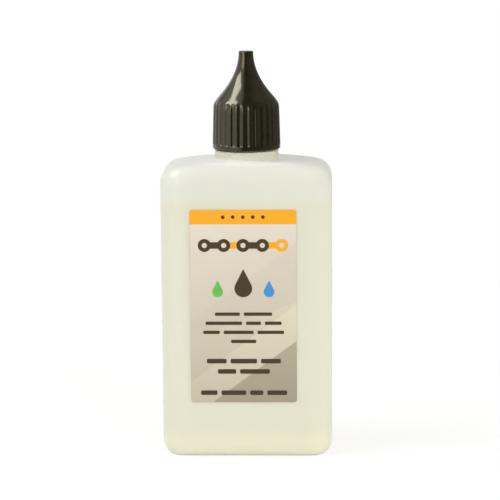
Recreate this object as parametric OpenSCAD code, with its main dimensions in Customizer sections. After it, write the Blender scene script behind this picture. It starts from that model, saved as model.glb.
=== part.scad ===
// Flat oil bottle with a spire screw cap, a dropper insert and a front label.
// Millimetres. The origin is the middle of the standing ring, +Z is up and the label faces -Y.

/* [Bottle] */
// Width of the body over its narrow sides
body_w = 51.9; // [46:0.1:70]
// Depth of the body from front to back
body_d = 29; // [27:0.5:40]
// Height of the top edge of the body, where the crowned shoulder starts
body_h = 88.9; // [84:0.1:110]
// Rise of the crowned shoulder from the top edge to the neck
crown_h = 1.4; // [0.6:0.1:3]
// Radius of the four upright edges, seen from above
upright_r = 7.5; // [7:0.1:10]
// Width of the rounded top edge at the narrow sides
edge_w = 4.8; // [4:0.1:8]
// Width of the rounded top edge at the front and the back
edge_d = 4.5; // [3:0.1:4.8]
// Height of the rounded top edge
edge_h = 5.4; // [4:0.1:8]
// Radius of the shoulder's corners, seen from above
edge_r = 2.3; // [1.5:0.1:5]
// Width of the rounded bottom edge at the narrow sides
foot_w = 3.2; // [2:0.1:6]
// Width of the rounded bottom edge at the front and the back
foot_d = 2.7; // [2:0.1:4]
// Height of the rounded bottom edge
foot_h = 4.7; // [3:0.1:8]
// Radius of the standing ring's corners, seen from above
foot_r = 3.5; // [2.5:0.1:6]
// Wall thickness of the blown body
wall = 0.9; // [0.6:0.05:1.4]
// Width of the flat ring that the bottle stands on
stand_w = 2.4; // [1.5:0.1:3.5]
// Depth of the recess inside the standing ring
recess_h = 1.2; // [0.6:0.1:2]
// Width of the recess's sloping edge
recess_slope = 1; // [0.5:0.1:2]
// Width of the pinched-off weld across the recess
weld_w = 0.8; // [0.4:0.1:1.2]
// Height of the weld
weld_h = 0.4; // [0.2:0.05:0.5]

/* [Neck] */
// Radius of the smooth collar under the cap
collar_r = 9.72; // [9.6:0.01:10]
// Height of the collar above the shoulder
collar_h = 2.6; // [2:0.1:5]
// Radius of the fillet between the collar and the shoulder
collar_fillet = 0.6; // [0.3:0.1:1]
// Radius of the neck between its threads
neck_r = 7.9; // [7.7:0.05:8]
// Wall thickness of the neck
neck_wall = 1.6; // [1.2:0.05:2]
// Height of the neck above the collar
neck_h = 11.1; // [10.5:0.1:12]
// Height of the thread above the neck's wall
thread_depth = 0.85; // [0.7:0.01:0.95]
// Rise of the thread in one turn
thread_pitch = 3; // [2.9:0.05:3.2]
// Turns of the thread
thread_turns = 1.5; // [1.25:0.25:1.75]
// Width of a thread at its root
thread_root_w = 1.8; // [1.5:0.05:1.9]
// Width of a thread at its crest
thread_crest_w = 0.85; // [0.6:0.05:0.9]
// Distance from the neck's top to the middle of the last turn
thread_drop = 2; // [1.6:0.1:2.5]

/* [Dropper insert] */
// Thickness of the flange that sits on the neck
flange_t = 0.9; // [0.6:0.1:1.4]
// Step from the neck's outer wall in to the flange's edge
flange_step = 0.3; // [0.1:0.05:0.6]
// Length of the plug inside the neck
plug_h = 6.5; // [4:0.1:8]
// Wall thickness of the plug
plug_wall = 1; // [0.7:0.05:1.3]
// How much larger the plug's radius is than the neck's bore
plug_bite = 0.04; // [0.01:0.01:0.08]
// Radius of the nozzle at the flange
nozzle_base_r = 4.4; // [4:0.1:4.6]
// Radius of the nozzle at its tip
nozzle_tip_r = 1.5; // [1.3:0.05:1.7]
// Wall thickness of the nozzle at the flange
nozzle_wall = 1; // [0.8:0.05:1.3]
// Radius of the outlet in the nozzle's tip
outlet_r = 0.8; // [0.7:0.05:0.95]

/* [Cap] */
// Height of the cap from rim to tip
cap_h = 29.4; // [28.5:0.1:31]
// Radius of the cap at its rim
cap_r = 10.32; // [10.2:0.01:11]
// Draft of the skirt, in degrees
cap_draft = 1.55; // [0.5:0.05:1.8]
// Radius of the flat tip
tip_r = 2.2; // [2:0.05:2.6]
// Height of the shoulder above the sealing ring, where the spire's flare meets the skirt
shoulder_h = 1.67; // [1.2:0.01:2]
// Power of the spire's flare: 1 is a straight cone, 2 is a parabola
flare_power = 2.06; // [1.9:0.01:2.2]
// Softness of the edge between the spire and the skirt
flare_blend = 0.6; // [0.2:0.05:0.7]
// Height of the smooth band at the rim
rim_band_h = 1.4; // [1:0.1:2]
// Number of grip grooves around the skirt
groove_count = 30; // [24:1:36]
// Radius of a groove's cutter
groove_r = 0.9; // [0.8:0.05:1]
// Depth of a groove below the skirt
groove_depth = 0.3; // [0.25:0.05:0.4]
// Share of a groove's pitch by which the first groove is turned
groove_phase = 0.7; // [0:0.1:0.9]
// Chamfer at the rim and at the tip
cap_chamfer = 0.25; // [0.1:0.05:0.4]
// Length of the solid end of the spire
tip_solid_h = 4.1; // [3.5:0.1:4.5]
// Wall thickness of the spire
spire_wall = 1.05; // [0.8:0.05:1.2]
// Length of the pin that plugs the outlet
pin_reach = 1.6; // [1:0.1:2.5]

/* [Cap seal] */
// Thickness of the sealing ring
seal_t = 0.8; // [0.5:0.05:1.2]
// Width of the sealing ring
seal_w = 2.4; // [1.8:0.1:2.7]
// Width of the cap's flat land on the sealing ring
land_w = 1.6; // [0.8:0.1:1.8]

/* [Clearances] */
// Gap between the collar and the cap's rim
rim_gap = 0.3; // [0.3:0.05:0.6]
// Gap between a thread's crest and the wall that it faces
thread_gap = 0.3; // [0.25:0.05:0.35]
// Gap between the nozzle's tip and the spire's hollow end
tip_gap = 1.15; // [0.6:0.05:1.5]
// Gap around the pin in the outlet
pin_gap = 0.3; // [0.25:0.05:0.35]

/* [Oil] */
// Height of the oil's surface
fill_z = 78.5; // [30:0.5:80]

/* [Label] */
// Width of the label
label_w = 32; // [28:0.1:34]
// Height of the label
label_h = 59.1; // [57:0.1:62]
// Height of the label's lower edge above the ground
label_z = 17.3; // [14:0.1:19]
// Shift of the label to the side of the body's middle
label_shift = -0.8; // [-1.5:0.1:1.5]
// Radius of the label's corners
label_r = 0.8; // [0.4:0.1:2]
// Thickness of the label film
film_t = 0.12; // [0.08:0.01:0.2]
// Thickness of a printed field
ink_t = 0.05; // [0.03:0.01:0.08]
// Height of the coloured band at the label's top
header_h = 4.4; // [3.5:0.1:6]
// Length of one link of the chain picture
link_pitch = 5.8; // [4:0.1:6.5]
// Number of links in the chain picture
link_count = 4; // [2:1:4]
// Distance from the header band to the middle of the chain picture
chain_drop = 6.4; // [4:0.1:7]
// Height of the largest drop
drop_h = 8.6; // [6:0.1:9]
// Distance from the header band to the foot of the drops
drops_drop = 22.2; // [20:0.1:23]
// Radius of the dots in the header band
dot_r = 0.55; // [0.3:0.05:0.8]
// Distance between the dots in the header band
dot_pitch = 3; // [2:0.1:4]
// Space between the plain bars of one line
bar_space = 1.2; // [0.8:0.1:2]
// Height of the darker field at the label's right edge, as a share of the label's height
taupe_right_share = 0.62; // [0.4:0.01:0.8]
// Height of the darker field at the label's left edge, as a share of the label's height
taupe_left_share = 0.24; // [0.1:0.01:0.4]

/* [Hidden] */
$fn = 96;

// Flat sides drawn per rounded corner, per crowned front and per rounded edge
CORNER_STEPS = 8;
FRONT_STEPS = 10;
EDGE_STEPS = 6;
THREAD_STEP = 12;
// Overlap that joins solids of one piece, and overshoot of a cutter
BITE = 0.25;

crown_half_w = body_w / 2 - edge_w;
crown_z = body_h + crown_h;
collar_z = crown_z + collar_h;
neck_z = collar_z + neck_h;
bore_r = neck_r - neck_wall;
thread_z = neck_z - thread_drop - thread_turns * thread_pitch;
crest_r = neck_r + thread_depth;

flange_z = neck_z + flange_t;
flange_r = neck_r - flange_step;
seal_z = flange_z + seal_t;
seal_r = flange_r - flange_step;

rim_z = collar_z + rim_gap;
cap_z = rim_z + cap_h;
flare_h = cap_z - seal_z - shoulder_h;
skirt_r = crest_r + thread_gap;
cap_crest_r = neck_r + thread_gap;
cavity_z = cap_z - tip_solid_h;
nozzle_z = cavity_z - tip_gap;
pin_r = outlet_r - pin_gap;

label_y = -body_d / 2;
ink_y = label_y - film_t;
header_y = label_h - header_h;
// Lines of bars: height above the label's lower edge, height of the bars, and their lengths
BAR_ROWS = [
    [26.8, 1, [7.5, 8.5]],
    [24, 1, [11, 4.5, 5]],
    [21.2, 1, [5, 9, 8]],
    [18.4, 1, [7.6]],
    [12.1, 1.4, [6, 8, 6]],
    [8.9, 1.4, [5.5, 9]],
    [2.3, 1.4, [5, 7.5, 4, 6]],
];

// A rounded rectangle as a closed ring of points. a, b and c are its half width, its half depth and
// its corner radius, and crown is what the middle of x rises above z.
function ring(a, b, c, z, crown = 0) =
    let (
        corner = function (sx, sy, from) [
            for (i = [0 : CORNER_STEPS])
                let (t = from + 90 * i / CORNER_STEPS)
                [sx * (a - c) + c * cos(t), sy * (b - c) + c * sin(t)]
        ],
        straight = function (sx, sy) [
            for (i = [1 : FRONT_STEPS - 1])
                [sx * (a - c) * (1 - 2 * i / FRONT_STEPS), sy * b]
        ],
        outline = concat(
            corner(1, 1, 0), straight(1, 1), corner(-1, 1, 90),
            corner(-1, -1, 180), straight(-1, -1), corner(1, -1, 270)
        )
    )
    [for (p = outline) [p.x, p.y, z + crown * max(0, 1 - pow(p.x / crown_half_w, 2))]];

// A closed solid from rings of equal length, the lowest first
module loft(rings) {
    n = len(rings[0]);
    last = len(rings) - 1;
    polyhedron(
        points = [for (r = rings) for (p = r) p],
        faces = concat(
            [[for (i = [0 : n - 1]) i]],
            [
                for (k = [0 : last - 1])
                    for (i = [0 : n - 1])
                        let (j = (i + 1) % n)
                        each [
                            [k * n + i, (k + 1) * n + j, k * n + j],
                            [k * n + i, (k + 1) * n + i, (k + 1) * n + j],
                        ]
            ],
            [[for (i = [n - 1 : -1 : 0]) last * n + i]]
        ),
        convexity = 6
    );
}

// The recess, the standing ring and the rounded bottom edge, with everything moved in by t
function bottom_rings(t) =
    let (
        stand_a = body_w / 2 - foot_w,
        stand_b = body_d / 2 - foot_d,
        roof = stand_w + recess_slope
    )
    concat(
        [
            ring(stand_a - roof + t / 2, stand_b - roof + t / 2, foot_r, recess_h + t),
            ring(stand_a - stand_w + t / 2, stand_b - stand_w + t / 2, foot_r, t),
        ],
        [
            for (i = [0 : EDGE_STEPS])
                let (q = 90 * i / EDGE_STEPS)
                ring(
                    stand_a + (foot_w - t) * sin(q),
                    stand_b + (foot_d - t) * sin(q),
                    foot_r + (upright_r - foot_r - t) * sin(q),
                    t + (foot_h - t) * (1 - cos(q))
                )
        ]
    );

// The rounded top edge and the crowned shoulder, with everything moved in by t
function top_rings(t) =
    let (
        top_a = body_w / 2 - edge_w,
        top_b = body_d / 2 - edge_d
    )
    concat(
        [
            for (i = [0 : EDGE_STEPS])
                let (q = 90 * i / EDGE_STEPS)
                ring(
                    top_a + (edge_w - t) * cos(q),
                    top_b + (edge_d - t) * cos(q),
                    edge_r + (upright_r - edge_r - t) * cos(q),
                    body_h - edge_h + (edge_h - t) * sin(q),
                    crown_h * pow(sin(q), 2)
                )
        ],
        [
            ring((top_a + bore_r) / 2, (top_b + bore_r) / 2, edge_r, body_h - t, crown_h),
            ring(bore_r + BITE, bore_r + BITE, edge_r, crown_z - t),
        ]
    );

// One thread as a swept trapezium. side is 1 for a thread that stands out of a wall and -1 for one
// that stands into a bore, and its crest fades into the wall at both ends.
module thread(root, crest, side, z) {
    steps = ceil(360 * thread_turns / THREAD_STEP);
    sections = [
        for (i = [0 : steps])
            let (
                t = i / steps,
                turn = 360 * thread_turns * t,
                fade = min(1, min(t, 1 - t) * steps / 3),
                tip = root + (crest - root) * max(fade, 0.02),
                in = root - side * BITE,
                mid = z + thread_pitch * thread_turns * t
            )
            [
                for (p = [
                    [in, -thread_root_w / 2], [tip, -thread_crest_w / 2],
                    [tip, thread_crest_w / 2], [in, thread_root_w / 2],
                ])
                    [p[0] * cos(turn), p[0] * sin(turn), mid + p[1]]
            ]
    ];
    n = len(sections[0]);
    last = len(sections) - 1;
    ends = [[for (i = [0 : n - 1]) i], [for (i = [n - 1 : -1 : 0]) last * n + i]];
    sides = [
        for (k = [0 : last - 1])
            for (i = [0 : n - 1])
                let (j = (i + 1) % n)
                each [
                    [k * n + i, (k + 1) * n + j, k * n + j],
                    [k * n + i, (k + 1) * n + i, (k + 1) * n + j],
                ]
    ];
    faces = concat(ends, sides);
    polyhedron(
        points = [for (s = sections) each s],
        faces = side < 0 ? faces : [for (f = faces) [for (i = [len(f) - 1 : -1 : 0]) f[i]]],
        convexity = 4
    );
}

// The collar with its fillet, and the plain neck above it
module neck_blank() {
    fillet = [
        for (q = [0 : 15 : 90])
            [collar_r + collar_fillet * (1 - sin(q)), crown_z + collar_fillet * (1 - cos(q)) - BITE]
    ];
    rotate_extrude()
        polygon(concat(
            [[0, body_h - wall], [collar_r + collar_fillet, body_h - wall]],
            fillet,
            [[collar_r, collar_z], [neck_r, collar_z], [neck_r, neck_z], [0, neck_z]]
        ));
}

// The raised line where the mould pinched the soft tube shut, across the recess
module weld() {
    translate([-body_w / 2 + foot_w + 2 * stand_w, -weld_w / 2, recess_h - weld_h])
        cube([body_w - 2 * foot_w - 4 * stand_w, weld_w, weld_h + BITE]);
}

module bottle() {
    color([0.90, 0.91, 0.86, 0.6])
        difference() {
            union() {
                loft(concat(bottom_rings(0), top_rings(0)));
                neck_blank();
                thread(neck_r, crest_r, 1, thread_z);
                weld();
            }
            loft(concat(bottom_rings(wall), top_rings(wall)));
            translate([0, 0, body_h - wall - BITE])
                cylinder(r = bore_r, h = neck_z - body_h + wall + 2 * BITE);
        }
}

module dropper_insert() {
    color([0.94, 0.94, 0.90])
        rotate_extrude()
            polygon([
                [bore_r + plug_bite - plug_wall, neck_z - plug_h],
                [bore_r + plug_bite, neck_z - plug_h],
                [bore_r + plug_bite, neck_z],
                [flange_r, neck_z],
                [flange_r, flange_z],
                [nozzle_base_r, flange_z],
                [nozzle_tip_r, nozzle_z],
                [outlet_r, nozzle_z],
                [outlet_r, nozzle_z - pin_reach],
                [nozzle_base_r - nozzle_wall, flange_z],
                [bore_r + plug_bite - plug_wall, neck_z - flange_t],
            ]);
}

module chain_oil() {
    color([0.93, 0.88, 0.55, 0.7])
        loft(concat(
            bottom_rings(wall),
            [ring(body_w / 2 - wall, body_d / 2 - wall, upright_r - wall, fill_z)]
        ));
}

// Radius of the cap's skin at a height above its rim: the drafted skirt and the flared spire,
// joined by a soft minimum
function skin_r(h) =
    let (
        skirt = cap_r - h * tan(cap_draft),
        top_r = cap_r - (cap_h - flare_h) * tan(cap_draft),
        flare = tip_r + (top_r - tip_r) * pow(max(cap_h - h, 0) / flare_h, flare_power)
    )
    h >= cap_h - flare_h * 0.55
        ? flare
        : -flare_blend * ln(exp(-skirt / flare_blend) + exp(-flare / flare_blend));

// Radius of the space inside the spire: the wall's thickness is kept square to the slope
function cavity_r(h) =
    let (
        step = 0.2,
        slope = (skin_r(h - step) - skin_r(h + step)) / (2 * step)
    )
    skin_r(h) - spire_wall * sqrt(1 + slope * slope);

module cap_skin() {
    low = cap_h - flare_h - 4 * flare_blend;
    heights = [for (i = [0 : 20]) low + (cap_h - cap_chamfer - low) * i / 20];
    rotate_extrude()
        polygon(concat(
            [[0, rim_z], [cap_r - cap_chamfer, rim_z], [cap_r, rim_z + cap_chamfer]],
            [for (h = heights) [skin_r(h), rim_z + h]],
            [[tip_r - cap_chamfer, cap_z], [0, cap_z]]
        ));
}

// The grooves stand parallel to the drafted skirt and run out through the rounded shoulder
module grip_grooves() {
    for (i = [0 : groove_count - 1])
        rotate([0, 0, 360 * (i + groove_phase) / groove_count])
            translate([skin_r(rim_band_h) + groove_r - groove_depth, 0, rim_z + rim_band_h])
                rotate([0, -cap_draft, 0])
                    cylinder(r = groove_r, h = cap_h - flare_h + BITE, $fn = 24);
}

// The bore of the skirt, and above the sealing ring the space for the nozzle
module cap_cavity() {
    land_r = seal_r - land_w;
    low = cap_h - flare_h;
    high = cavity_z - rim_z;
    heights = [for (i = [0 : 12]) low + (high - low) * i / 12];
    translate([0, 0, rim_z - BITE])
        cylinder(r = skirt_r, h = seal_z - rim_z + BITE);
    rotate_extrude()
        polygon(concat(
            [[0, seal_z - BITE], [land_r, seal_z - BITE]],
            [for (h = heights) [min(cavity_r(h), land_r), rim_z + h]],
            [[0, cavity_z]]
        ));
}

module cap() {
    color([0.10, 0.10, 0.09]) {
        difference() {
            cap_skin();
            grip_grooves();
            cap_cavity();
        }
        thread(skirt_r, cap_crest_r, -1, thread_z - thread_pitch / 2);
        translate([0, 0, nozzle_z - pin_reach + pin_gap])
            cylinder(r = pin_r, h = cavity_z + BITE - nozzle_z + pin_reach - pin_gap);
    }
}

module cap_seal() {
    color([0.88, 0.87, 0.83])
        translate([0, 0, flange_z])
            difference() {
                cylinder(r = seal_r, h = seal_t);
                translate([0, 0, -BITE])
                    cylinder(r = seal_r - seal_w, h = seal_t + 2 * BITE);
            }
}

// A rectangle with round corners, centred in x and standing on y = 0
module round_field(w, h, r) {
    translate([-w / 2 + r, 0])
        square([w - 2 * r, h]);
    translate([-w / 2, r])
        square([w, h - 2 * r]);
    for (x = [-w / 2 + r, w / 2 - r])
        for (y = [r, h - r])
            translate([x, y])
                circle(r = r, $fn = 32);
}

// A flat outline drawn in label coordinates, stood up as a thin plate in front of y
module on_label(y, t) {
    translate([label_shift, y, label_z])
        rotate([90, 0, 0])
            linear_extrude(height = t)
                children();
}

// One side plate of a chain: two round ends with a slim waist and two pin holes
module link_plate() {
    end_r = link_pitch * 0.34;
    difference() {
        union() {
            for (x = [0, link_pitch])
                translate([x, 0])
                    circle(r = end_r, $fn = 32);
            translate([0, -end_r * 0.5])
                square([link_pitch, end_r]);
        }
        for (x = [0, link_pitch])
            translate([x, 0])
                circle(r = end_r * 0.4, $fn = 24);
    }
}

// Every second plate of the chain picture, from the given one on
module chain_plates(first) {
    translate([-link_count * link_pitch / 2, header_y - chain_drop])
        for (i = [first : 2 : link_count - 1])
            translate([i * link_pitch, 0])
                link_plate();
}

// A falling drop, h high and standing on y = 0: a round belly under a pointed top
module drop(h) {
    belly_r = h * 0.31;
    rise = h - belly_r;
    touch = asin(belly_r / rise);
    translate([0, belly_r]) {
        circle(r = belly_r, $fn = 40);
        polygon([
            [belly_r * cos(touch), belly_r * sin(touch)],
            [0, rise],
            [-belly_r * cos(touch), belly_r * sin(touch)],
        ]);
    }
}

// One line of plain bars, set side by side about the label's middle
module bar_row(y, h, bars) {
    starts = [
        for (i = 0, x = 0; i <= len(bars); x = x + (i < len(bars) ? bars[i] + bar_space : 0), i = i + 1) x
    ];
    half = (starts[len(bars)] - bar_space) / 2;
    for (i = [0 : len(bars) - 1])
        translate([starts[i] - half + bars[i] / 2, y])
            round_field(bars[i], h, h * 0.3);
}

// The header band and the lighter plates of the chain picture
module orange_outline() {
    translate([-label_w, header_y])
        square([2 * label_w, header_h + 1]);
    chain_plates(1);
}

// The darker field, with a slanting upper edge
module taupe_outline() {
    polygon([
        [-label_w, -1], [label_w, -1],
        [label_w, label_h * taupe_right_share], [-label_w, label_h * taupe_left_share],
    ]);
}

module label_film() {
    color([0.84, 0.82, 0.74])
        difference() {
            on_label(label_y, film_t)
                round_field(label_w, label_h, label_r);
            on_label(ink_y + ink_t, ink_t + BITE) {
                orange_outline();
                taupe_outline();
            }
        }
}

module label_orange() {
    color([0.99, 0.68, 0.18])
        on_label(ink_y + ink_t, ink_t)
            intersection() {
                round_field(label_w, label_h, label_r);
                orange_outline();
            }
}

module label_taupe() {
    color([0.74, 0.69, 0.60])
        on_label(ink_y + ink_t, ink_t)
            intersection() {
                round_field(label_w, label_h, label_r);
                taupe_outline();
            }
}

module label_print() {
    color([0.31, 0.26, 0.17])
        on_label(ink_y, ink_t) {
            for (i = [-2 : 2])
                translate([i * dot_pitch, header_y + header_h / 2])
                    circle(r = dot_r, $fn = 24);
            chain_plates(0);
            translate([0, header_y - drops_drop])
                drop(drop_h);
            for (side = [-1, 1])
                translate([side * drop_h * 0.9, header_y - drops_drop])
                    drop(drop_h * 0.6);
            for (row = BAR_ROWS)
                bar_row(row[0], row[1], row[2]);
        }
}

bottle();
dropper_insert();
chain_oil();
cap();
cap_seal();
label_film();
label_orange();
label_taupe();
label_print();
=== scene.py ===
"""Flat oil bottle with a spire screw cap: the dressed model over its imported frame.

The frame gives the bodies, the nodes and their places. Each piece below is a surface worked out
with numpy in the same frame, and each finish is named for the real material. Lengths are in
millimetres until a mesh is made, when they become metres.
"""

from __future__ import annotations

import logging
import math
from dataclasses import dataclass, field
from enum import Enum
from typing import Any, Mapping, Sequence

import bpy
import numpy as np
from mathutils import Matrix

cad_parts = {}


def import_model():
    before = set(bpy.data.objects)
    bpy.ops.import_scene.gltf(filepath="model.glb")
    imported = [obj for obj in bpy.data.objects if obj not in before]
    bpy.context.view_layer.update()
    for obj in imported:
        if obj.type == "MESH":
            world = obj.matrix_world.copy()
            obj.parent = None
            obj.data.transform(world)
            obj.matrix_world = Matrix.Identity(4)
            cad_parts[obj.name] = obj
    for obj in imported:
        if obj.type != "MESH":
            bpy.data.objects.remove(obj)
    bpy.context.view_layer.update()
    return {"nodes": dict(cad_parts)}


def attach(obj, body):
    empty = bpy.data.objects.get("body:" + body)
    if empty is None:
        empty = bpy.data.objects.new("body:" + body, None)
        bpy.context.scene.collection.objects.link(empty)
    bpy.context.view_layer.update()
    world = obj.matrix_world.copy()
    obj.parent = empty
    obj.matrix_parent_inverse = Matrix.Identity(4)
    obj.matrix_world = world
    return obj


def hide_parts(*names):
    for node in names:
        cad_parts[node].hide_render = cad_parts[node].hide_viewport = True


LOG = logging.getLogger("bottle")
MM = 0.001
AIM = 0.06  # Height in metres that the lamps are aimed at
Array = np.ndarray
Colour = tuple[float, float, float, float]
Material = bpy.types.Material
Object = bpy.types.Object
Pair = tuple[float, float]
Socket = bpy.types.NodeSocket
Tree = bpy.types.NodeTree


class Slot(Enum):
    """The record's material slots."""

    BODY = "natural_polyethylene"
    INSERT = "insert_polyethylene"
    OIL = "oil"
    CAP = "black_polypropylene"
    SEAL = "seal_foam"
    FILM = "label_film"
    ORANGE = "orange_ink"
    TAUPE = "taupe_ink"
    DARK = "dark_ink"


class Body(Enum):
    """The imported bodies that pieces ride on."""

    BOTTLE = "bottle"
    SEAL = "cap_seal"
    CAP = "cap"


# Colours and nodes


def linear(colour: str) -> Colour:
    """Turn an sRGB hex colour into linear light.

    Args:
        colour: Six hex digits.

    Returns:
        Red, green, blue and alpha, from 0 to 1.
    """
    parts = [int(colour[i : i + 2], 16) / 255.0 for i in (0, 2, 4)]
    red, green, blue = (
        p / 12.92 if p <= 0.04045 else ((p + 0.055) / 1.055) ** 2.4 for p in parts
    )
    return (red, green, blue, 1.0)


def add_node(
    tree: Tree,
    kind: str,
    settings: Mapping[Any, Any] | None = None,
    links: Mapping[Any, Socket] | None = None,
) -> bpy.types.Node:
    """Add one node with its settings and links.

    Args:
        tree: The node tree that takes the node.
        kind: The node's type name.
        settings: Values by input number, input name or property name, set in this order.
        links: Output sockets by the input that each feeds.

    Returns:
        The new node.
    """
    node = tree.nodes.new(kind)
    for key, value in (settings or {}).items():
        if isinstance(key, int) or key in node.inputs:
            node.inputs[key].default_value = value
        else:
            setattr(node, key, value)
    for key, socket in (links or {}).items():
        tree.links.new(socket, node.inputs[key])
    return node


def new_material(name: str) -> tuple[Material, Tree]:
    """Make a material with an empty tree.

    Args:
        name: The material's name.

    Returns:
        The material and its node tree.
    """
    material = bpy.data.materials.new(name)
    material.use_nodes = True
    material.node_tree.nodes.clear()
    return material, material.node_tree


def calculate(tree: Tree, operation: str, first: Socket, second: Socket | float) -> Socket:
    """Work out one number from two.

    Args:
        tree: The node tree.
        operation: The operation's name.
        first: The first number.
        second: The second number, as a socket or a plain value.

    Returns:
        The result's socket.
    """
    plain = isinstance(second, float)
    settings = {"operation": operation, 1: second} if plain else {"operation": operation}
    links = {0: first} if plain else {0: first, 1: second}
    return add_node(tree, "ShaderNodeMath", settings, links).outputs[0]


def map_range(
    tree: Tree, value: Socket, start: Pair = (0.0, 1.0), end: Pair = (0.0, 1.0)
) -> Socket:
    """Carry a number from one range over to another, held at both ends.

    Args:
        tree: The node tree.
        value: The number.
        start: The range that it comes from.
        end: The range that it goes to.

    Returns:
        The result's socket.
    """
    settings = dict(zip(("From Min", "From Max", "To Min", "To Max"), start + end))
    return add_node(tree, "ShaderNodeMapRange", settings, {"Value": value}).outputs[0]


def separate(tree: Tree, place: Socket, axis: str) -> Socket:
    """One coordinate of a place.

    Args:
        tree: The node tree.
        place: The coordinates.
        axis: X, Y or Z.

    Returns:
        The coordinate's socket.
    """
    return add_node(tree, "ShaderNodeSeparateXYZ", links={0: place}).outputs[axis]


def mix(tree: Tree, share: Socket, under: Socket, over: Colour, blend: str = "MIX") -> Socket:
    """Lay a plain colour over another one.

    Args:
        tree: The node tree.
        share: How much of it shows, from 0 to 1.
        under: The colour below.
        over: The plain colour.
        blend: How the two are blended.

    Returns:
        The colour's socket.
    """
    settings = {"data_type": "RGBA", "blend_type": blend, 7: over}
    return add_node(tree, "ShaderNodeMix", settings, {0: share, 6: under}).outputs[2]


# Surfaces


def around(steps: int) -> Array:
    """Directions in even steps round the axis, in radians.

    Args:
        steps: How many.

    Returns:
        The angles, from 0.
    """
    return np.arange(steps) * 2.0 * math.pi / steps


def smooth_step(low: float, high: float, value: Array) -> Array:
    """Rise smoothly from 0 to 1: three times the square of the share less twice its cube.

    Args:
        low: Where the rise starts.
        high: Where it ends.
        value: The numbers.

    Returns:
        A share for each number.
    """
    t = np.clip((value - low) / (high - low), 0.0, 1.0)
    return t * t * (3.0 - 2.0 * t)


def rounded_profile(corners: Sequence[Pair], radii: Sequence[float], steps: int = 5) -> Array:
    """Round the corners of an open profile with quadratic arcs.

    Each corner point is replaced by a curve from a point short of it to a point past it: the start
    times (1 - t) squared, the corner times 2t(1 - t) and the end times t squared.

    Args:
        corners: Radius and height of the profile's points, in order.
        radii: How far before and after each point its arc starts, 0 for a sharp point.
        steps: Flat sides in an arc.

    Returns:
        Points as an array of radius and height.
    """
    points = np.array(corners, float)
    rows = [points[:1]]
    t = np.linspace(0.0, 1.0, steps + 1)[:, None]
    for before, here, after, radius in zip(points, points[1:], points[2:], radii[1:]):
        if radius <= 0.0:
            rows.append(here[None])
            continue
        start = here + (before - here) * min(0.49, radius / np.linalg.norm(before - here))
        end = here + (after - here) * min(0.49, radius / np.linalg.norm(after - here))
        rows.append(start * (1 - t) ** 2 + here * 2 * t * (1 - t) + end * t**2)
    rows.append(points[-1:])
    return np.concatenate(rows)


def subdivide(profile: Array, longest: float) -> Array:
    """Split a profile's straight stretches so that none is longer than a given length.

    Args:
        profile: Points, one a row.
        longest: The greatest length of a stretch.

    Returns:
        The same line with more points.
    """
    lengths = np.linalg.norm(np.diff(profile, axis=0), axis=1)
    counts = np.maximum(1, np.ceil(lengths / longest)).astype(int)
    at = np.concatenate(
        [k + np.arange(n) / n for k, n in enumerate(counts)] + [[len(profile) - 1.0]]
    )
    index = np.arange(len(profile))
    return np.stack([np.interp(at, index, column) for column in profile.T], axis=1)


def polar_rectangle(angle: Array, half_x: Array, half_y: Array, corner: Array) -> Array:
    """Radius of a rounded rectangle in a given direction from its middle.

    The ray meets a flat side at the half size over its cosine or sine. Where that point lies past
    the straight part, the ray meets the corner's circle instead, found from the quadratic of the
    ray and the circle.

    Args:
        angle: Directions in radians.
        half_x: Half width.
        half_y: Half depth.
        corner: Radius of the corners.

    Returns:
        The radius for every combination that the arrays broadcast to.
    """
    cosine = np.abs(np.cos(angle)) + 1e-12
    sine = np.abs(np.sin(angle)) + 1e-12
    centre_x = half_x - corner
    centre_y = half_y - corner
    to_x = half_x / cosine
    to_y = half_y / sine
    along = cosine * centre_x + sine * centre_y
    square = along**2 - centre_x**2 - centre_y**2 + corner**2
    to_corner = along + np.sqrt(np.maximum(square, 0.0))
    on_x = to_x * sine <= centre_y
    on_y = to_y * cosine <= centre_x
    return np.where(on_x, to_x, np.where(on_y, to_y, to_corner))


def new_object(name: str, points: Array, faces: list[Any], smooth: bool) -> Object:
    """Make an object at the origin and link it to the scene.

    Args:
        name: The object's name.
        points: Its points, in metres.
        faces: Lists of point numbers.
        smooth: Whether it is shaded smooth.

    Returns:
        The object.
    """
    mesh = bpy.data.meshes.new(name)
    mesh.from_pydata(points.reshape(-1, 3).tolist(), [], faces)
    mesh.polygons.foreach_set("use_smooth", np.full(len(mesh.polygons), smooth))
    mesh.update()
    thing = bpy.data.objects.new(name, mesh)
    bpy.context.scene.collection.objects.link(thing)
    return thing


def closed_mesh(name: str, shells: Sequence[Array]) -> Object:
    """Make one object of closed shells.

    A shell is a grid of rows and columns. The columns close round the axis, and the first and the
    last row close to a pole at their mean. Rows run up the outside, so the faces point outwards.

    Args:
        name: The object's name.
        shells: Arrays of rows, columns and three coordinates, in millimetres.

    Returns:
        The object.
    """
    points: list[Array] = []
    quads: list[Array] = []
    fans: list[Array] = []
    offset = 0
    for grid in shells:
        rows, columns, _ = grid.shape
        poles = np.stack([grid[0].mean(axis=0), grid[-1].mean(axis=0)])
        points.append(np.concatenate([grid.reshape(-1, 3), poles]))
        index = offset + np.arange(rows * columns).reshape(rows, columns)
        after = np.roll(index, -1, axis=1)
        quads.append(
            np.stack([index[:-1], after[:-1], after[1:], index[1:]], axis=-1).reshape(-1, 4)
        )
        low = np.full(columns, offset + rows * columns)
        fans.append(np.stack([low, after[0], index[0]], axis=-1))
        fans.append(np.stack([low + 1, index[-1], after[-1]], axis=-1))
        offset += rows * columns + 2
    faces = np.concatenate(quads).tolist() + np.concatenate(fans).tolist()
    return new_object(name, np.concatenate(points) * MM, faces, True)


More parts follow.
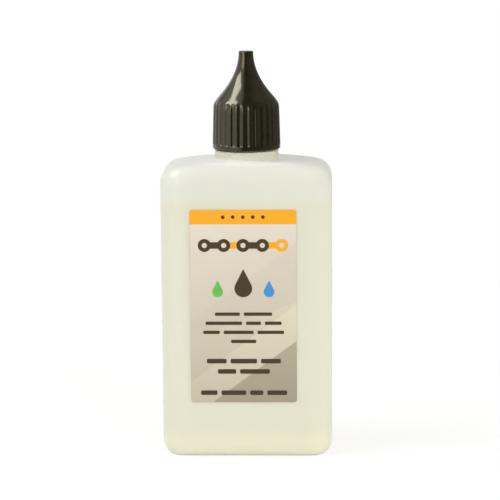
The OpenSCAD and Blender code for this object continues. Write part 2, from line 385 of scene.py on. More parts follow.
def revolve(profile: Array, columns: int) -> tuple[Array, Array, Array]:
    """Spread a profile round the upright axis.

    Args:
        profile: Radius and height of each row.
        columns: Steps round the axis.

    Returns:
        Angle, radius and height as grids of rows and columns.
    """
    shape = (len(profile), columns)
    return (
        np.broadcast_to(around(columns), shape),
        np.broadcast_to(profile[:, :1], shape).copy(),
        np.broadcast_to(profile[:, 1:2], shape).copy(),
    )


def to_points(angle: Array, radius: Array, height: Array) -> Array:
    """Turn cylinder coordinates into x, y and z.

    Args:
        angle: Angle round the axis.
        radius: Distance from the axis.
        height: Height.

    Returns:
        A grid of points.
    """
    return np.stack([radius * np.cos(angle), radius * np.sin(angle), height], axis=-1)


def ring_mesh(name: str, profile: Array, columns: int) -> Object:
    """Turn a closed profile round the axis into a ring without poles.

    Args:
        name: The object's name.
        profile: Radius and height, up the outside first, with its first point repeated last.
        columns: Steps round the axis.

    Returns:
        The object.
    """
    grid = to_points(*revolve(profile[:-1], columns))
    index = np.arange(len(grid) * columns).reshape(len(grid), columns)
    after = np.roll(index, -1, axis=1)
    above = np.roll(index, -1, axis=0)
    both = np.roll(after, -1, axis=0)
    faces = np.stack([index, after, both, above], axis=-1).reshape(-1, 4)
    return new_object(name, grid * MM, faces.tolist(), True)


@dataclass(frozen=True)
class Thread:
    """A screw thread as a ridge on a turned wall, in millimetres.

    Attributes:
        start: Height of the thread's middle where it begins.
        pitch: Rise in one turn.
        turns: Length in turns.
        height: How far the crest stands off the wall.
        crest: Width of the crest.
        root: Width at the wall.
        run_out: Length over which each end fades, in turns.
    """

    start: float = 97.5
    pitch: float = 3.0
    turns: float = 1.5
    height: float = 0.85
    crest: float = 0.85
    root: float = 1.8
    run_out: float = 0.12

    def ridge(self, angle: Array, z: Array) -> Array:
        """Height of the ridge over the wall.

        The distance up from the helix is measured to its nearest turn. The ridge falls by a
        smooth step from the crest's width to the root's, and it fades in and out over the run-out
        at both ends.

        Args:
            angle: Angle round the axis, in radians.
            z: Height.

        Returns:
            The ridge's height, 0 off the thread.
        """
        share = angle / (2.0 * math.pi)
        turn = np.round((z - self.start) / self.pitch - share)
        turn = np.clip(turn, 0.0, math.floor(self.turns - 1e-9))
        along = turn + share
        away = np.abs(z - self.start - self.pitch * along)
        flank = 1.0 - smooth_step(self.crest / 2, self.root / 2, away)
        fade_in = smooth_step(0.0, self.run_out, along)
        fade_out = 1 - smooth_step(self.turns - self.run_out, self.turns, along)
        return self.height * flank * (fade_in * fade_out)


# Finishes


@dataclass(frozen=True)
class Finish:
    """What every finish has: a name, the slot that it answers to, and a shader.

    Attributes:
        name: The material's name, from the real material and how its surface was made.
        slot: The record's slot; not used.
        roughness: The shader's roughness.
        ior: The shader's index of refraction.
    """

    name: str = "finish"
    slot: Slot = Slot.BODY
    roughness: float = 0.4
    ior: float = 1.5

    def settings(self) -> dict[str, Any]:
        """Further values for the shader's own sockets.

        Returns:
            Values by the name of the input that each sets.
        """
        return {}

    def links(self, tree: Tree, place: Socket) -> dict[str, Socket]:
        """Sockets that feed the shader.

        Args:
            tree: The material's node tree.
            place: Object coordinates.

        Returns:
            Output sockets by the shader input that each feeds.
        """
        return {}

    def build(self) -> Material:
        """Make the material.

        Returns:
            The new material.
        """
        material, tree = new_material(self.name)
        place = add_node(tree, "ShaderNodeTexCoord").outputs["Object"]
        shader = add_node(
            tree,
            "ShaderNodeBsdfPrincipled",
            {"Roughness": self.roughness, "IOR": self.ior, **self.settings()},
            self.links(tree, place),
        )
        add_node(tree, "ShaderNodeOutputMaterial", links={"Surface": shader.outputs["BSDF"]})
        return material


def colour_ramp(tree: Tree, share: Socket, stops: Sequence[tuple[float, str]]) -> Socket:
    """Colour by a number from 0 to 1.

    Args:
        tree: The node tree.
        share: The number.
        stops: Places from 0 to 1 with their sRGB colours, the lowest first.

    Returns:
        The colour's socket.
    """
    ramp = add_node(tree, "ShaderNodeValToRGB", links={0: share})
    elements = ramp.color_ramp.elements
    while len(elements) < len(stops):
        elements.new(0.5)
    for element, (position, colour) in zip(elements, stops):
        element.position = position
        element.color = linear(colour)
    return ramp.outputs["Color"]


def height_ramp(tree: Tree, place: Socket, stops: Sequence[tuple[float, str]]) -> Socket:
    """Colour a surface by its height.

    Args:
        tree: The node tree.
        place: Object coordinates.
        stops: Heights in millimetres with their sRGB colours, the lowest first.

    Returns:
        The colour's socket.
    """
    low, high = stops[0][0], stops[-1][0]
    share = map_range(tree, separate(tree, place, "Z"), (low * MM, high * MM))
    shares = [((height - low) / (high - low), colour) for height, colour in stops]
    return colour_ramp(tree, share, shares)


def relief(
    tree: Tree, height: Socket, depth: float, over: Socket | None = None, strength: float = 1.0
) -> Socket:
    """Raise and sink a surface by a pattern.

    Args:
        tree: The node tree.
        height: The pattern.
        depth: Depth of the relief, in millimetres.
        over: Another relief's normal that this one lies on.
        strength: How much of it shows.

    Returns:
        The normal's socket.
    """
    links = {"Height": height} if over is None else {"Height": height, "Normal": over}
    settings = {"Strength": strength, "Distance": depth * MM}
    return add_node(tree, "ShaderNodeBump", settings, links).outputs["Normal"]


def noise(tree: Tree, place: Socket, size: float, layers: float) -> Socket:
    """A cloudy pattern.

    Args:
        tree: The node tree.
        place: Object coordinates.
        size: Width of one cloud, in millimetres.
        layers: Detail of the pattern.

    Returns:
        The pattern's socket.
    """
    settings = {"Scale": 1.0 / (size * MM), "Detail": layers}
    return add_node(tree, "ShaderNodeTexNoise", settings, {"Vector": place}).outputs[0]


@dataclass(frozen=True)
class NaturalPolyethylene(Finish):
    """High-density polyethylene without pigment, blown in a blasted mould.

    It is milky and lets light through, warmer where oil wets the inside, and its skin is satin
    with slow ripples from the blowing. Its colour also holds painted light: a lighter band at the
    foot, a painted glow on the shoulder's thin crown and painted shade on the collar under the cap.

    Attributes:
        fill: Height of the oil in millimetres, where the tint changes.
        crown: Heights of the painted glow on the shoulder's thin crown, which stands for light
            through it.
    """

    name: str = "blown_natural_polyethylene"
    roughness: float = 0.36
    ior: float = 1.54
    fill: float = 78.5
    crown: Pair = (89.8, 90.3)

    def settings(self) -> dict[str, Any]:
        """Let part of the light through the wall and scatter the rest in it."""
        return {
            "Transmission Weight": 0.22,
            "Specular IOR Level": 0.3,
            "Subsurface Weight": 0.35,
            "Subsurface Radius": (1.0, 0.95, 0.7),
            "Subsurface Scale": 0.004,
        }

    def links(self, tree: Tree, place: Socket) -> dict[str, Socket]:
        """Tint by the wetted height with painted light and shade bands, slow ripples and fine
        blasted grain.
        """
        # Painted light in the tint: the pale rows at the foot stand for the base seen through the
        # oil, the pale crown rows for light through the thin wall, and the darker rows beside the
        # crown are painted shade, deepest on the collar under the cap.
        stops = (
            (0.0, "F6F3D8"),
            (5.0, "F5F2D7"),
            (9.0, "EEEDD4"),
            (self.fill - 5.0, "EBEBD5"),
            (self.fill - 1.6, "EBEBD4"),
            (self.fill + 1.6, "EBEEDE"),
            (self.crown[0] - 0.6, "E6E9DC"),
            (self.crown[0], "F6F8EE"),
            (self.crown[1], "F6F8EE"),
            (self.crown[1] + 0.5, "DFDFCB"),
            (104.0, "EDEDDD"),
        )
        # Ripples about 9 mm wide from the stretched tube, drawn out along the height
        long = add_node(tree, "ShaderNodeMapping", {"Scale": (1.0, 1.0, 0.35)}, {"Vector": place})
        ripple = relief(tree, noise(tree, long.outputs[0], 9.0, 1.0), 0.1)
        # Blasted grain is 0.05 mm wide, drawn at 0.35 mm so that it shows
        fine = relief(tree, noise(tree, place, 0.35, 2.0), 0.006, ripple)
        return {"Base Color": height_ramp(tree, place, stops), "Normal": fine}


@dataclass(frozen=True)
class InsertPolyethylene(Finish):
    """Low-density polyethylene, injection moulded: soft, white and waxy, with a smooth skin."""

    name: str = "moulded_white_polyethylene"
    slot: Slot = Slot.INSERT
    roughness: float = 0.4
    ior: float = 1.51

    def settings(self) -> dict[str, Any]:
        """A waxy depth under the skin."""
        return {"Subsurface Weight": 0.4, "Subsurface Scale": 0.002}

    def links(self, tree: Tree, place: Socket) -> dict[str, Socket]:
        """Slightly warmer towards the tip, with a fine spark-eroded grain drawn at 0.3 mm."""
        tint = height_ramp(tree, place, [(97.0, "F2F2EA"), (105.0, "F4F4EC"), (118.0, "EFEEE2")])
        return {"Base Color": tint, "Normal": relief(tree, noise(tree, place, 0.3, 2.0), 0.004)}


@dataclass(frozen=True)
class PaleOil(Finish):
    """Light refined oil: clear and pale yellow, with a still, glossy surface."""

    name: str = "clear_yellow_oil"
    slot: Slot = Slot.OIL
    roughness: float = 0.06
    ior: float = 1.47

    def settings(self) -> dict[str, Any]:
        """Mostly clear, so that the far wall's light comes through."""
        return {"Transmission Weight": 0.75}

    def links(self, tree: Tree, place: Socket) -> dict[str, Socket]:
        """A trace deeper in colour towards the bottom."""
        return {"Base Color": height_ramp(tree, place, [(0.0, "F6EFB4"), (80.0, "F4EEB6")])}


@dataclass(frozen=True)
class BlackPolypropylene(Finish):
    """Carbon-black polypropylene, injection moulded in a polished tool.

    Its skin is glossy but slightly uneven, and a warm trace shows in its black where light lies.
    At the end of the spire the gloss is turned nearly off, so that the tip stays dark: painted
    shade.

    Attributes:
        gloss: Specular level of the polished skin.
        shaded_tip_level: Specular level of the spire's end, nearly nothing, as painted shade.
        end: Heights in millimetres between which the one gives way to the other.
    """

    name: str = "moulded_black_polypropylene"
    slot: Slot = Slot.CAP
    roughness: float = 0.14
    ior: float = 1.49
    gloss: float = 0.68
    shaded_tip_level: float = 0.008
    end: Pair = (122.4, 122.58)

    def settings(self) -> dict[str, Any]:
        """A faint warmth in the gloss."""
        return {"Specular Tint": linear("FFF7D4")}

    def links(self, tree: Tree, place: Socket) -> dict[str, Socket]:
        """Faint clouding of the black, painted shade at the spire's end and the tool's grain, drawn
        at 0.4 mm.
        """
        clouds = noise(tree, place, 3.0, 3.0)
        low, high = (height * MM for height in self.end)
        height = separate(tree, place, "Z")
        return {
            "Base Color": colour_ramp(tree, clouds, [(0.3, "19180C"), (0.7, "1F1E12")]),
            # Painted shade: the reflection is turned nearly off at the spire's end so that the tip
            # stays dark.
            "Specular IOR Level": map_range(tree, height, (low, high), (self.gloss, self.shaded_tip_level)),
            "Normal": relief(tree, noise(tree, place, 0.4, 2.0), 0.004),
        }


@dataclass(frozen=True)
class SealFoam(Finish):
    """Expanded polyethylene foam, sliced from sheet: matt, off-white, with fine closed cells."""

    name: str = "sliced_polyethylene_foam"
    slot: Slot = Slot.SEAL
    roughness: float = 0.8
    ior: float = 1.5

    def links(self, tree: Tree, place: Socket) -> dict[str, Socket]:
        """Cells 0.25 mm wide, darker between their walls."""
        settings = {"Scale": 1.0 / (0.25 * MM)}
        cells = add_node(tree, "ShaderNodeTexVoronoi", settings, {"Vector": place})
        away = cells.outputs["Distance"]
        return {
            "Base Color": colour_ramp(tree, away, [(0.0, "E4E1D6"), (1.0, "CFCBBE")]),
            "Normal": relief(tree, away, 0.05, strength=0.8),
        }


@dataclass(frozen=True)
class PrintedFilm(Finish):
    """Polypropylene label film with a pressed satin varnish over flat inks.

    The varnish gives a soft even sheen, and the inks lie in clean fields with straight slanting
    edges and a slow change of tone from top to bottom.

    Attributes:
        stops: Heights in millimetres with the field's colours.
        facets: Slanting fields: direction across and up, distance in millimetres, and how much
            lighter or darker each colour is there.
        accents: Round fields of another ink: place across and up and radius in millimetres, and
            colour.
    """

    name: str = "varnished_printed_film"
    slot: Slot = Slot.FILM
    roughness: float = 0.42
    ior: float = 1.5
    stops: tuple[tuple[float, str], ...] = ()
    facets: tuple[tuple[float, float, float, tuple[float, float, float]], ...] = ()
    accents: tuple[tuple[float, float, float, str], ...] = ()

    def settings(self) -> dict[str, Any]:
        """A thin clear varnish."""
        return {"Coat Weight": 0.1, "Coat Roughness": 0.25, "Specular IOR Level": 0.35}

    def links(self, tree: Tree, place: Socket) -> dict[str, Socket]:
        """Tone by height, facets, accents and the film's faint orange-peel, drawn at 1.2 mm."""
        colour = height_ramp(tree, place, self.stops)
        for across, up, distance, tone in self.facets:
            settings = {"operation": "DOT_PRODUCT", 1: (across, 0.0, up)}
            along = add_node(tree, "ShaderNodeVectorMath", settings, {0: place})
            inside = calculate(tree, "GREATER_THAN", along.outputs["Value"], distance * MM)
            colour = mix(tree, inside, colour, (*tone, 1.0), "MULTIPLY")
        settings = {"operation": "MULTIPLY", 1: (1.0, 0.0, 1.0)}
        flat = add_node(tree, "ShaderNodeVectorMath", settings, {0: place})
        for across, up, radius, ink in self.accents:
            settings = {"operation": "DISTANCE", 1: (across * MM, 0.0, up * MM)}
            away = add_node(tree, "ShaderNodeVectorMath", settings, {0: flat.outputs[0]})
            inside = calculate(tree, "LESS_THAN", away.outputs["Value"], radius * MM)
            colour = mix(tree, inside, colour, linear(ink))
        return {"Base Color": colour, "Normal": relief(tree, noise(tree, place, 1.2, 1.0), 0.006)}


# Pieces


@dataclass
class Bottle:
    """The blown shell, its oil and its label, in millimetres.

    Attributes:
        half_w: Half width of the body.
        half_d: Half depth of the body.
        corner: Radius of the upright edges.
        edge: Width at the sides, width at the front and height of the rounded top edge.
        edge_r: Radius of the shoulder's corners, seen from above.
        edge_turn: Degrees of the rounded top edge that are drawn as rings.
        foot: Width at the sides, width at the front and height of the rounded bottom edge.
        foot_r: Radius of the standing ring's corners, seen from above.
        body_h: Height where the crowned shoulder starts.
        crown: Rise of the shoulder to the neck.
        wall: Thickness of the wall.
        collar_r: Radius of the collar under the cap.
        collar_z: Height of the collar's top.
        fillet: Radius between the collar and the shoulder.
        neck_r: Radius of the neck.
        bore_r: Radius of the neck's bore.
        neck_z: Height of the neck's top.
        recess: Depth of the recess inside the standing ring.
        stand: Width of the standing ring and of the slope inside it.
        stand_r: Radius of their rounded edges.
        weld: Half length and radius of the pinch weld.
        fill: Height of the oil.
        film: Gap between the oil and the wall.
        curl: Rise of the oil's edge up the wall.
        columns: Steps round the axis.
        step: Longest stretch of the neck's profile.
        thread: The neck's thread.
    """

    half_w: float = 25.95
    half_d: float = 14.5
    corner: float = 7.5
    edge: tuple[float, float, float] = (4.8, 4.5, 5.4)
    edge_r: float = 2.3
    edge_turn: float = 50.0
    foot: tuple[float, float, float] = (3.2, 2.7, 4.7)
    foot_r: float = 3.5
    body_h: float = 88.9
    crown: float = 1.4
    wall: float = 0.9
    collar_r: float = 9.72
    collar_z: float = 92.9
    fillet: float = 0.6
    neck_r: float = 7.9
    bore_r: float = 6.3
    neck_z: float = 104.0
    recess: float = 1.2
    stand: Pair = (2.4, 1.0)
    stand_r: float = 0.35
    weld: Pair = (14.5, 0.4)
    fill: float = 78.5
    film: float = 0.04
    curl: float = 0.7
    columns: int = 288
    step: float = 0.22
    thread: Thread = field(default_factory=Thread)

    @property
    def angle(self) -> Array:
        """Directions round the axis, in radians."""
        return around(self.columns)

    def rounded(self, share: Array, inset: float, top: bool = True) -> tuple[Array, Array, Array]:
        """Half width, half depth and corner radius of a ring on a rounded edge.

        Each is its value at the flat part plus the way to its value at the body's side, times the
        share.

        Args:
            share: 0 at the flat part and 1 at the body's side.
            inset: How far the surface is moved in.
            top: Whether the edge is the top one.

        Returns:
            Three arrays like share.
        """
        width, depth, _ = self.edge if top else self.foot
        small = self.edge_r if top else self.foot_r
        return (
            self.half_w - width + (width - inset) * share,
            self.half_d - depth + (depth - inset) * share,
            small + (self.corner - small - inset) * share,
        )

    def crowned(self, x: Array) -> Array:
        """Rise of the shoulder: the crown times one less the square of x over its half width.

        Args:
            x: Across.

        Returns:
            The rise for each x.
        """
        return self.crown * np.maximum(0.0, 1.0 - (x / (self.half_w - self.edge[0])) ** 2)

    def ring(
        self, sizes: tuple[Array, Array, Array], z: Array, lift: Array | float = 0.0
    ) -> Array:
        """Rows of the body's outline.

        Args:
            sizes: Half width, half depth and corner radius of each row.
            z: Height of each row.
            lift: Share of the crown that each row gets.

        Returns:
            A grid of points.
        """
        half_x, half_y, corner = (v[:, None] for v in sizes)
        angle = np.broadcast_to(self.angle, (len(z), self.columns))
        radius = polar_rectangle(angle, half_x, half_y, corner)
        x = radius * np.cos(angle)
        share = np.broadcast_to(lift, z.shape)[:, None]
        return np.stack([x, radius * np.sin(angle), z[:, None] + share * self.crowned(x)], -1)

    def shoulder_height(self, x: Array, y: Array, inset: float) -> Array:
        """Height of the shoulder over a point seen from above.

        The rings of the rounded top edge grow with a share from 0 to 1. The share whose ring runs
        through the point is found by halving, and the height is the edge's height times the sine
        that goes with that share as a cosine, plus the crown times that sine squared.

        Args:
            x: Across.
            y: Depth.
            inset: How far the surface is moved in.

        Returns:
            Heights like x.
        """
        angle = np.arctan2(y, x)
        distance = np.hypot(x, y)
        low = np.zeros_like(distance)
        high = np.ones_like(distance)
        for _ in range(30):
            middle = (low + high) / 2
            outside = polar_rectangle(angle, *self.rounded(middle, inset)) < distance
            low = np.where(outside, middle, low)
            high = np.where(outside, high, middle)
        share = np.where(low < 1e-6, 0.0, low)
        sine = np.sqrt(1.0 - share**2)
        top = self.body_h - self.edge[2] + (self.edge[2] - inset) * sine
        return top + self.crowned(x) * sine**2

    def shoulder(self, radius: float, inset: float) -> Array:
        """The shoulder from the body's side up to a circle round the neck.

        The first rows are rings of the rounded edge. The others are drawn evenly between the last
        of these rings and the circle, at the shoulder's height over each point.

        Args:
            radius: Radius of the circle.
            inset: How far the surface is moved in.

        Returns:
            A grid of points, the lowest row first.
        """
        turn = np.linspace(0.0, math.radians(self.edge_turn), 12)
        edge = self.ring(
            self.rounded(np.cos(turn), inset),
            self.body_h - self.edge[2] + (self.edge[2] - inset) * np.sin(turn),
            np.sin(turn) ** 2,
        )
        circle = np.stack([radius * np.cos(self.angle), radius * np.sin(self.angle)], -1)
        share = np.linspace(0.0, 1.0, 22)[1:, None, None]
        plan = edge[-1][None, :, :2] * (1 - share) + circle[None] * share
        z = self.shoulder_height(plan[..., 0], plan[..., 1], inset)
        return np.concatenate([edge, np.concatenate([plan, z[..., None]], -1)])

    def underside(self, inset: float) -> Array:
        """The recess, the standing ring and the rounded bottom edge, from the middle outwards.

        Args:
            inset: How far the surface is moved in.

        Returns:
            A grid of points.
        """
        flat, slope = self.stand
        line = [(-7.0, self.recess), (-flat - slope, self.recess), (-flat, 0.0), (0.0, 0.0)]
        steps = rounded_profile(line, [0.0, self.stand_r, self.stand_r, 0.0], 4)
        if inset > 0.0:
            steps = steps[:-1]
        width, depth, small = (float(v[0]) for v in self.rounded(np.zeros(1), 0.0, False))
        shrink = steps[:, 0] + inset / 2
        sizes = (width + shrink, depth + shrink, np.minimum(small, depth + shrink - 0.1))
        base = self.ring(sizes, steps[:, 1] + inset)
        filler = np.array([0.03, 0.3, 0.6, 0.85])[:, None, None] * base[:1]
        filler[..., 2] = base[0, 0, 2]
        turn = np.linspace(0.0, math.pi / 2, 14)
        edge = self.ring(
            self.rounded(np.sin(turn), inset, False),
            inset + (self.foot[2] - inset) * (1 - np.cos(turn)),
        )
        return np.concatenate([filler, base, edge] if inset > 0.0 else [filler, base[:-1], edge])

    def neck(self) -> Array:
        """The fillet, the collar, the threaded neck and its bore, from the shoulder inwards.

        Returns:
            A grid of points.
        """
        foot = self.shoulder_height(
            *((self.collar_r + self.fillet) * f(self.angle) for f in (np.cos, np.sin)), 0.0
        )
        turn = np.linspace(0.0, math.pi / 2, 7)[1:]
        radius = self.collar_r + self.fillet * (1 - np.sin(turn))
        grid = to_points(
            np.broadcast_to(self.angle, (6, self.columns)),
            np.broadcast_to(radius[:, None], (6, self.columns)),
            foot[None] + self.fillet * (1 - np.cos(turn))[:, None],
        )
        line = [
            (self.collar_r, self.collar_z - 1.0),
            (self.collar_r, self.collar_z),
            (self.neck_r, self.collar_z),
            (self.neck_r, self.neck_z),
            (self.bore_r, self.neck_z),
            (self.bore_r, self.body_h + self.crown - self.wall + 0.4),
        ]
        profile = rounded_profile(line, [0.0, 0.3, 0.4, 0.3, 0.3, 0.0])
        angle, radii, height = revolve(subdivide(profile, self.step), self.columns)
        outside = (radii > self.neck_r - 0.01) & (radii < self.neck_r + 0.01)
        radii = radii + np.where(outside, self.thread.ridge(angle, height), 0.0)
        return np.concatenate([grid, to_points(angle, radii, height)])

    def shell(self) -> Array:
        """The whole wall: up the outside from the recess, over the neck and down the inside.

        Returns:
            A grid of points.
        """
        inner = np.concatenate([self.underside(self.wall), self.shoulder(self.bore_r, self.wall)])
        crown = self.shoulder(self.collar_r + self.fillet, 0.0)
        return np.concatenate([self.underside(0.0), crown, self.neck(), inner[::-1]])

    def seam(self) -> Array:
        """The pinched line across the recess: a low oval ridge that fades at both ends.

        Returns:
            A grid of rounds along x, each an ellipse in y and z.
        """
        length, radius = self.weld
        along = np.linspace(-length, length, 40)[:, None]
        turn = around(12)
        size = np.sqrt(np.clip(1.0 - (along / (length + 0.1)) ** 8, 0.0, 1.0))
        x = np.broadcast_to(along, (40, 12))
        middle = self.recess + 0.05
        return np.stack(
            [x, radius * size * np.cos(turn), middle + radius * size * np.sin(turn)], -1
        )

    def oil(self) -> Array:
        """The filling: the inside of the wall up to the fill height, with a curled-up edge.

        The surface rises by the curl times the 24th power of its share of the way to the wall.

        Returns:
            A grid of points.
        """
        gap = self.wall + self.film
        side = self.underside(gap)
        share = np.array([1.0, 0.985, 0.965, 0.93, 0.88, 0.8, 0.6, 0.35, 0.1])[:, None]
        rim = self.ring(self.rounded(np.ones(1), gap), np.zeros(1))
        top = rim * share[..., None]
        top[..., 2] = self.fill - self.curl + self.curl * share**24
        return np.concatenate([side, top])

    def make(self) -> list[Object]:
        """Build the pieces, hang them on the bottle's body and give them their finishes.

        Returns:
            The wall and the oil.
        """
        wall = closed_mesh("bottle_wall", [self.shell(), self.seam()])
        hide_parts("bottle")
        oil = closed_mesh("bottle_oil", [self.oil()])
        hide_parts("chain_oil")
        for piece, slot, finish in (
            (wall, Slot.BODY, NaturalPolyethylene(fill=self.fill)),
            (oil, Slot.OIL, PaleOil()),
        ):
            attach(piece, Body.BOTTLE.value)
            piece.data.materials.append(finish.build())
        return [wall, oil]


@dataclass
class Insert:
    """The dropper plug in the neck, in millimetres.

    Attributes:
        plug_r: Radius of the plug.
        plug_wall: Its wall.
        foot: Height of the plug's lower edge.
        seat: Height of the neck's top.
        flange: Radius of the flange.
        flange_t: Thickness of the flange.
        base: Radius of the nozzle at the flange.
        tip: Radius of the nozzle at its end.
        top: Height of the nozzle's end.
        outlet: Radius of the outlet.
        reach: Length of the outlet.
    """

    plug_r: float = 6.34
    plug_wall: float = 1.0
    foot: float = 97.5
    seat: float = 104.0
    flange: float = 7.6
    flange_t: float = 0.9
    base: float = 4.4
    tip: float = 1.5
    top: float = 117.35
    outlet: float = 0.8
    reach: float = 1.6

    def make(self) -> Object:
        """Turn the plug, the flange and the nozzle in one closed profile.

        Returns:
            The piece.
        """
        inner = self.plug_r - self.plug_wall
        deck = self.seat + self.flange_t
        profile = rounded_profile(
            [
                (inner + 0.3, self.foot),
                (self.plug_r - 0.15, self.foot),
                (self.plug_r - 0.05, self.foot + 1.0),
                (self.plug_r, self.seat),
                (self.flange, self.seat),
                (self.flange, deck),
                (self.base, deck),
                (self.tip, self.top),
                (self.outlet, self.top),
                (self.outlet, self.top - self.reach),
                (self.base - 1.0, deck),
                (inner, self.seat - self.flange_t),
                (inner, self.foot),
                (inner + 0.3, self.foot),
            ],
            [0, 0.2, 0.2, 0.1, 0.2, 0.25, 0.6, 0.3, 0.2, 0.3, 0.5, 0.5, 0.2, 0],
        )
        piece = ring_mesh("dropper_plug", subdivide(profile, 0.8), 96)
        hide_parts("dropper_insert")
        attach(piece, Body.BOTTLE.value)
        piece.data.materials.append(InsertPolyethylene().build())
        return piece


@dataclass
class Seal:
    """The sealing ring on the insert's flange, in millimetres.

    Attributes:
        low: Height of its lower face.
        thick: Its thickness.
        outer: Its outer radius.
        width: Its width.
    """

    low: float = 104.9
    thick: float = 0.8
    outer: float = 7.3
    width: float = 2.4

    def make(self) -> Object:
        """Turn the ring's rounded section.

        Returns:
            The piece.
        """
        inner = self.outer - self.width
        top = self.low + self.thick
        middle = (inner + self.outer) / 2
        profile = rounded_profile(
            [
                (middle, self.low),
                (self.outer, self.low),
                (self.outer, top),
                (inner, top),
                (inner, self.low),
                (middle, self.low),
            ],
            [0, 0.15, 0.15, 0.15, 0.15, 0],
        )
        piece = ring_mesh("sealing_ring", subdivide(profile, 0.6), 96)
        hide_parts("cap_seal")
        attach(piece, Body.SEAL.value)
        piece.data.materials.append(SealFoam().build())
        return piece


